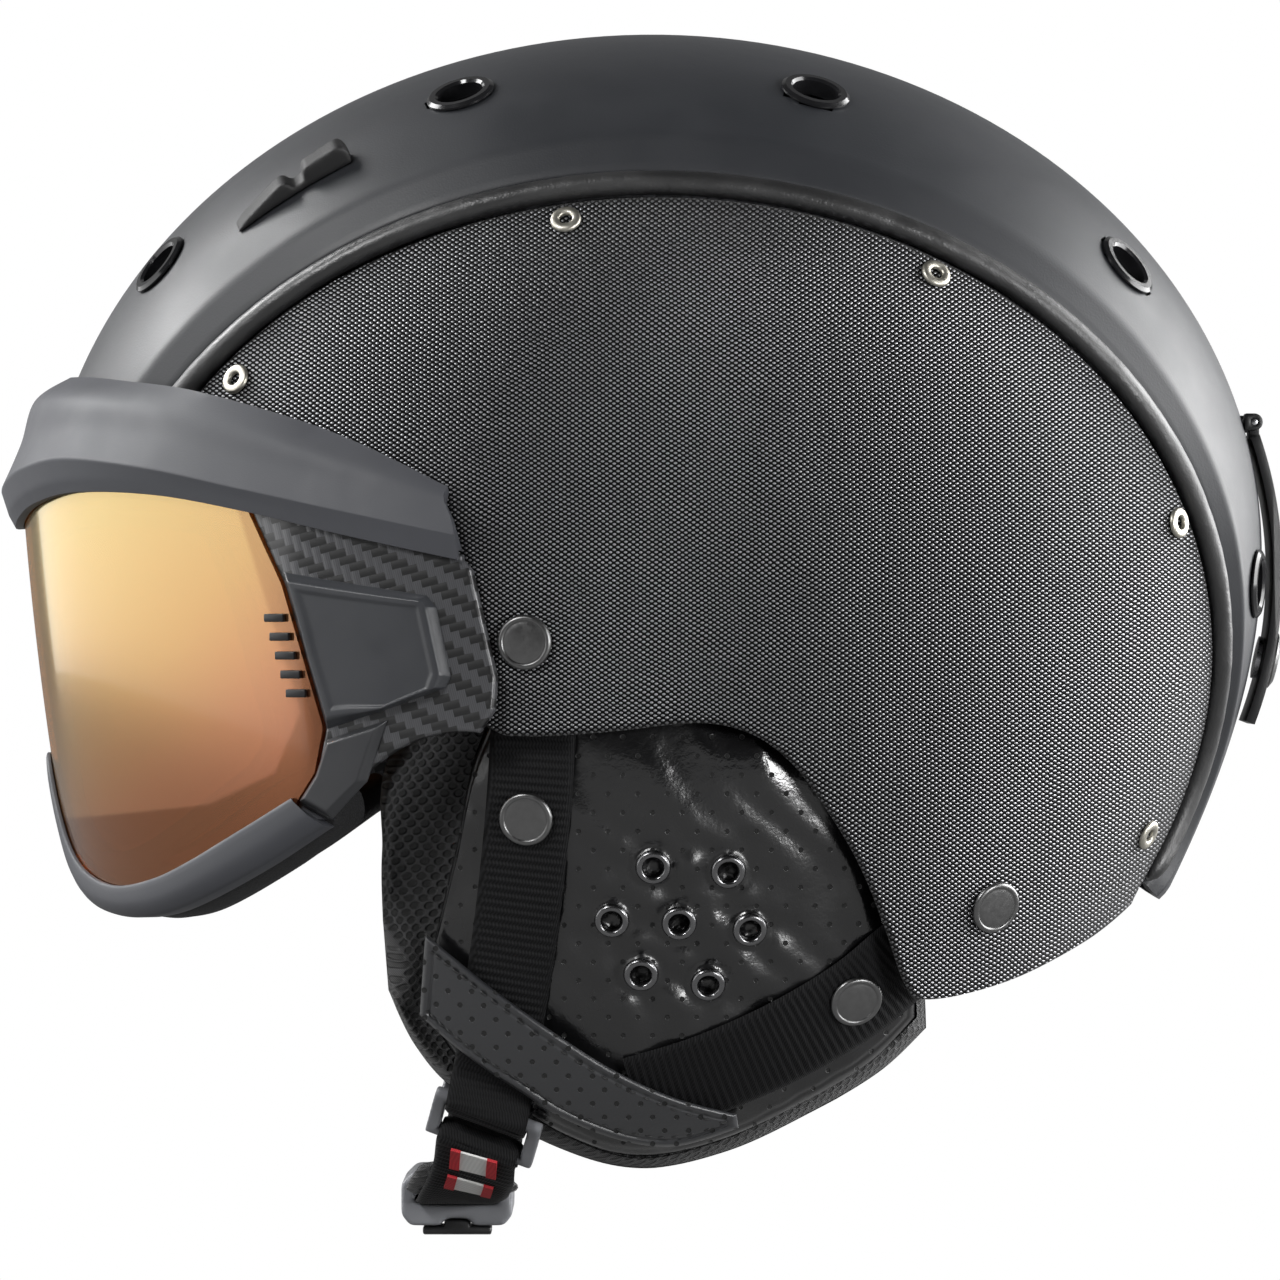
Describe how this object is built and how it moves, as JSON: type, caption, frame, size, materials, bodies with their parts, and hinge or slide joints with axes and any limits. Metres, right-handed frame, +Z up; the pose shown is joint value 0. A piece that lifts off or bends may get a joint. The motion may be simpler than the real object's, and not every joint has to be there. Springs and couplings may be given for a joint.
{
  "type": "visor ski helmet",
  "caption": "Ski helmet with textile side panels, leather ear pads, snap-fastened webbing, buckled chin strap and a large pull-off goggle visor held by magnets.",
  "frame": {"origin": "middle of the wearer's head, at the level where the shell is widest", "axes": "+Z up, the wearer faces -X, the wearer's left side is -Y"},
  "size_m": [0.3005, 0.22, 0.2808],
  "materials": {
    "shell": "matte, fine grain",
    "panel": "coated textile with a fine diamond grain",
    "leather": "soft sheen",
    "foam": "expanded foam",
    "padding": "knitted lining",
    "mesh": "open spacer mesh",
    "vent": "gloss",
    "rivet": "polished",
    "cap": "dark lacquer",
    "eyelet": "dark nickel",
    "rubber": "matte",
    "magnet": "nickel",
    "pin": "nickel",
    "webbing": "ribbed webbing",
    "label": "woven",
    "grey_plastic": "satin",
    "black_plastic": "satin",
    "visor_frame": "satin",
    "carbon": "twill weave under clear coat",
    "lens": "mirror coated",
    "inner_lens": "clear"
  },
  "bodies": {
    "helmet": {"crown_shell": "shell", "side_panel_left": "panel", "side_panel_right": "panel", "panel_piping_left": "leather", "panel_piping_right": "leather", "energy_foam": "foam", "comfort_lining": "padding", "neck_pad": "padding", "vent_rings": "vent", "panel_rivets": "rivet", "strap_anchor_caps": "cap", "park_rest_left": "rubber", "park_rest_right": "rubber", "helmet_magnets": "magnet", "holder_hinge_base": "black_plastic", "holder_hinge_pin": "pin", "holder_snap_stud": "pin", "ear_pad_left": "leather", "ear_pad_right": "leather", "ear_lining_left": "mesh", "ear_lining_right": "mesh", "ear_eyelets": "eyelet", "cross_band_left": "leather", "cross_band_right": "leather", "front_strap_left": "webbing", "front_strap_right": "webbing", "rear_strap_left": "webbing", "rear_strap_right": "webbing", "strap_snap_caps": "cap", "loop_tab_left": "webbing", "loop_tab_right": "webbing", "divider_loop_left": "grey_plastic", "chin_strap_left": "webbing", "chin_pad": "mesh", "strap_labels": "label", "buckle_housing": "grey_plastic", "fit_cradle": "black_plastic", "fit_dial_axle": "black_plastic"},
    "visor": {"visor_brow": "visor_frame", "visor_side_plate_left": "carbon", "visor_side_plate_right": "carbon", "visor_boss_left": "visor_frame", "visor_boss_right": "visor_frame", "visor_lower_frame": "visor_frame", "visor_arm_left": "visor_frame", "visor_arm_right": "visor_frame", "outer_lens": "lens", "inner_lens": "inner_lens", "lens_spacer": "foam", "visor_vent_comb": "black_plastic", "visor_foam": "foam", "visor_magnets": "magnet"},
    "strap_holder": {"holder_band": "black_plastic", "holder_snap_cap": "cap"},
    "dial": {"fit_dial": "black_plastic"},
    "chin_closure": {"chin_strap_right": "webbing", "buckle_tongue": "black_plastic", "divider_loop_right": "grey_plastic"},
    "release_tab": {"buckle_release_tab": "black_plastic"}
  },
  "joints": [
    {"name": "visor_pull", "type": "slide", "parent": "helmet", "child": "visor", "axis": [-1, 0, 0], "range_m": [0, 0.07]},
    {"name": "holder_flap", "type": "hinge", "parent": "helmet", "child": "strap_holder", "pos_m": [0.1407, 0, 0.0305], "axis": [0, -1, 0], "range_deg": [0, 90]},
    {"name": "dial_turn", "type": "hinge", "parent": "helmet", "child": "dial", "pos_m": [0.097, 0, -0.071], "axis": [1, 0, 0], "range_deg": [-180, 180]},
    {"name": "chin_swing", "type": "hinge", "parent": "helmet", "child": "chin_closure", "pos_m": [-0.037, 0.0662, -0.127], "axis": [0.9375, 0.0751, -0.3397], "range_deg": [0, 45]},
    {"name": "release_slide", "type": "slide", "parent": "helmet", "child": "release_tab", "axis": [0, -1, 0], "range_m": [0, 0.003], "stiffness_N_per_m": 300, "springref_m": -0.001}
  ]
}
